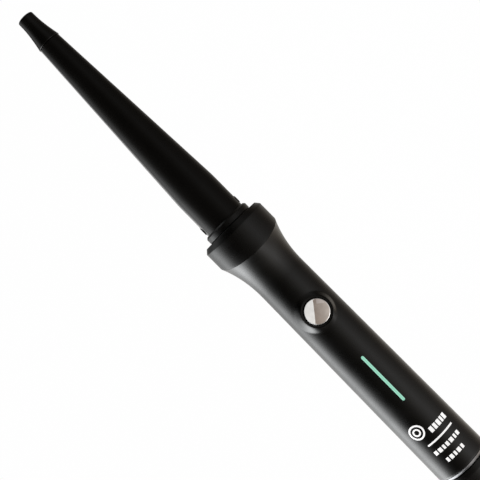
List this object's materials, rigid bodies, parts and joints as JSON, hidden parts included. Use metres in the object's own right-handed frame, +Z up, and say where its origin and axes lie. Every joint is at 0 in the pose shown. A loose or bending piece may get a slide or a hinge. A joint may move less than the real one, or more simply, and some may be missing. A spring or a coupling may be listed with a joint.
{
  "type": "curling iron",
  "caption": "Clipless curling wand: hollow conical heated barrel with cool tip and fold-out stand, on a round handle with a push button, a light bar and a swivelling cord gland.",
  "frame": {"origin": "middle of the underside of the whole tool as it lies level with the button up, on the plane its collar rests on", "axes": "+X along the barrel towards the cool tip, +Z up out of the button, +Y to the left when looking towards the tip"},
  "size_m": [0.3756, 0.0404, 0.0403],
  "materials": {
    "body_plastic": "satin black with a very fine grain",
    "tip_plastic": "smooth satin black",
    "ring_plastic": "satin black",
    "gland_plastic": "satin black",
    "gloss_black": "gloss black",
    "barrel_coating": "satin black ceramic coating on aluminium",
    "stand_metal": "black coated sheet steel",
    "button_chrome": "mirror",
    "satin_metal": "satin",
    "mint_light": "translucent, lit from behind",
    "bare_aluminium": "as cast",
    "steel": "zinc plated",
    "contact_brass": "polished",
    "heater_ceramic": "matt fired ceramic",
    "holder_resin": "moulded heat-resistant resin",
    "amber_film": "polyimide film",
    "component_black": "moulded",
    "white_plastic": "moulded",
    "red_insulation": "silicone wire insulation",
    "board_laminate": "green solder mask"
  },
  "bodies": {
    "handle": {"cool_tip": "tip_plastic", "tip_screw": "steel", "barrel": "barrel_coating", "heater_block_upper": "bare_aluminium", "heater_block_lower": "bare_aluminium", "heater_element": "heater_ceramic", "insulation_film": "amber_film", "heater_clip": "steel", "thermistor": "amber_film", "thermal_fuse": "heater_ceramic", "barrel_holder": "holder_resin", "barrel_screw_left": "steel", "barrel_screw_right": "steel", "base_ring": "ring_plastic", "collar": "body_plastic", "handle_front_shell": "body_plastic", "handle_back_shell": "body_plastic", "shell_screw_left": "steel", "shell_screw_right": "steel", "shell_screw_rear": "steel", "button_bezel": "gloss_black", "button_spring": "steel", "tact_switch": "component_black", "controller_board": "board_laminate", "board_screw_front": "steel", "board_screw_rear": "steel", "triac": "component_black", "capacitor": "bare_aluminium", "board_fuse": "heater_ceramic", "indicator_led_1": "white_plastic", "indicator_led_2": "white_plastic", "indicator_led_3": "white_plastic", "indicator_led_4": "white_plastic", "light_pipe": "mint_light", "rear_ring": "satin_metal", "rear_cap": "gloss_black", "contact_carrier": "component_black", "brush_live": "contact_brass", "brush_neutral": "contact_brass", "heater_lead_live": "red_insulation", "heater_lead_neutral": "white_plastic", "sensor_lead": "component_black", "supply_lead_live": "red_insulation", "supply_lead_neutral": "white_plastic"},
    "button": {"button_cap": "button_chrome"},
    "switch_plunger": {"switch_plunger": "white_plastic"},
    "stand": {"stand": "stand_metal"},
    "gland": {"cord_gland": "gland_plastic", "contact_ring_live": "contact_brass", "contact_ring_neutral": "contact_brass"}
  },
  "joints": [
    {"name": "button_press", "type": "slide", "parent": "handle", "child": "button", "axis": [0, 0, -1], "range_m": [0, 0.0008], "stiffness_N_per_m": 900, "springref_m": -0.0008, "deforming": ["button_spring"]},
    {"name": "plunger_press", "type": "slide", "parent": "handle", "child": "switch_plunger", "axis": [0, 0, -1], "range_m": [0, 0.0008]},
    {"name": "stand_fold", "type": "hinge", "parent": "handle", "child": "stand", "pos_m": [0.0342, 0, 0.02015], "axis": [0, 1, 0], "range_deg": [0, 50]},
    {"name": "cord_swivel", "type": "hinge", "parent": "handle", "child": "gland", "pos_m": [-0.1738, 0, 0.02015], "axis": [1, 0, 0], "continuous": true}
  ],
  "couplings": [
    {"joint": "plunger_press", "follows": "button_press", "ratio": 1}
  ]
}
